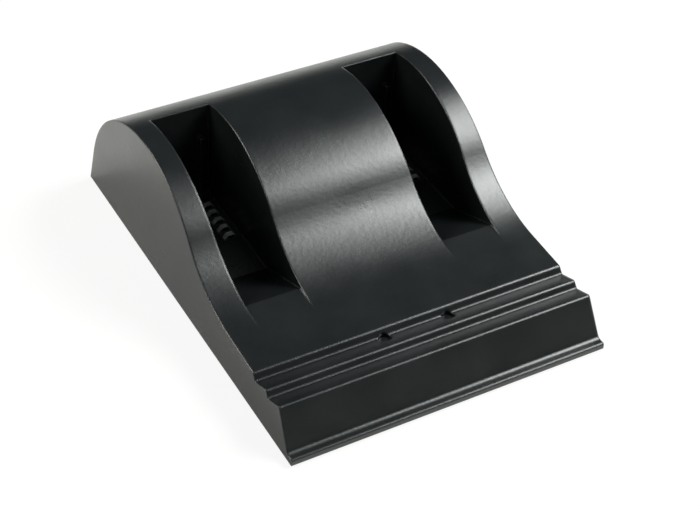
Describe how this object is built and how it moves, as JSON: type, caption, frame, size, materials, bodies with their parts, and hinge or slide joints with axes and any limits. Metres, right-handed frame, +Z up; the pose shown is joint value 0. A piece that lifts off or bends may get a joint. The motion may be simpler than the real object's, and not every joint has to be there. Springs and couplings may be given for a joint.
{
  "type": "dual bay battery charger",
  "caption": "Desktop battery charger with a wave-shaped moulded housing, two deep battery bays with spring contacts, status lights and a rear power socket.",
  "frame": {"origin": "centre of the footprint, on the undersides of the four rubber feet", "axes": "+X across the charger to its right seen from the front, +Y from the front lip to the rear wall with the power socket, +Z up"},
  "size_m": [0.114, 0.154, 0.0454],
  "materials": {
    "housing_plastic": "black satin moulded plastic with a fine spark texture",
    "base_plastic": "black moulded plastic, a little duller than the housing",
    "board_laminate": "green solder mask on glass laminate",
    "contact_plastic": "black heat-resistant plastic",
    "contact_metal": "plated spring contacts, bright on the crowns",
    "screw_steel": "zinc plated",
    "lamp_resin": "tinted clear resin",
    "window_plastic": "smoked clear plastic, polished",
    "socket_plastic": "black nylon",
    "pin_metal": "nickel plated",
    "sink_aluminium": "extruded, clear anodised",
    "chip_plastic": "moulded epoxy package",
    "choke_winding": "enamelled copper wire on a dark core",
    "capacitor_sleeve": "dark blue shrink sleeve",
    "foot_rubber": "black rubber"
  },
  "bodies": {
    "root": {"top_housing": "housing_plastic", "base_cover": "base_plastic", "circuit_board": "board_laminate", "board_screws": "screw_steel", "base_screws": "screw_steel", "contact_block_left": "contact_plastic", "contact_block_right": "contact_plastic", "contact_left_1": "contact_metal", "contact_left_2": "contact_metal", "contact_left_3": "contact_metal", "contact_left_4": "contact_metal", "contact_left_5": "contact_metal", "contact_right_1": "contact_metal", "contact_right_2": "contact_metal", "contact_right_3": "contact_metal", "contact_right_4": "contact_metal", "contact_right_5": "contact_metal", "status_lamp_left": "lamp_resin", "status_lamp_right": "lamp_resin", "lamp_window_left": "window_plastic", "lamp_window_right": "window_plastic", "power_socket": "socket_plastic", "socket_pin": "pin_metal", "heat_sink": "sink_aluminium", "power_transistor_left": "chip_plastic", "power_transistor_right": "chip_plastic", "choke_left": "choke_winding", "choke_right": "choke_winding", "capacitor_left": "capacitor_sleeve", "capacitor_right": "capacitor_sleeve", "controller_chip": "chip_plastic", "foot_front_left": "foot_rubber", "foot_front_right": "foot_rubber", "foot_rear_left": "foot_rubber", "foot_rear_right": "foot_rubber"}
  },
  "joints": []
}
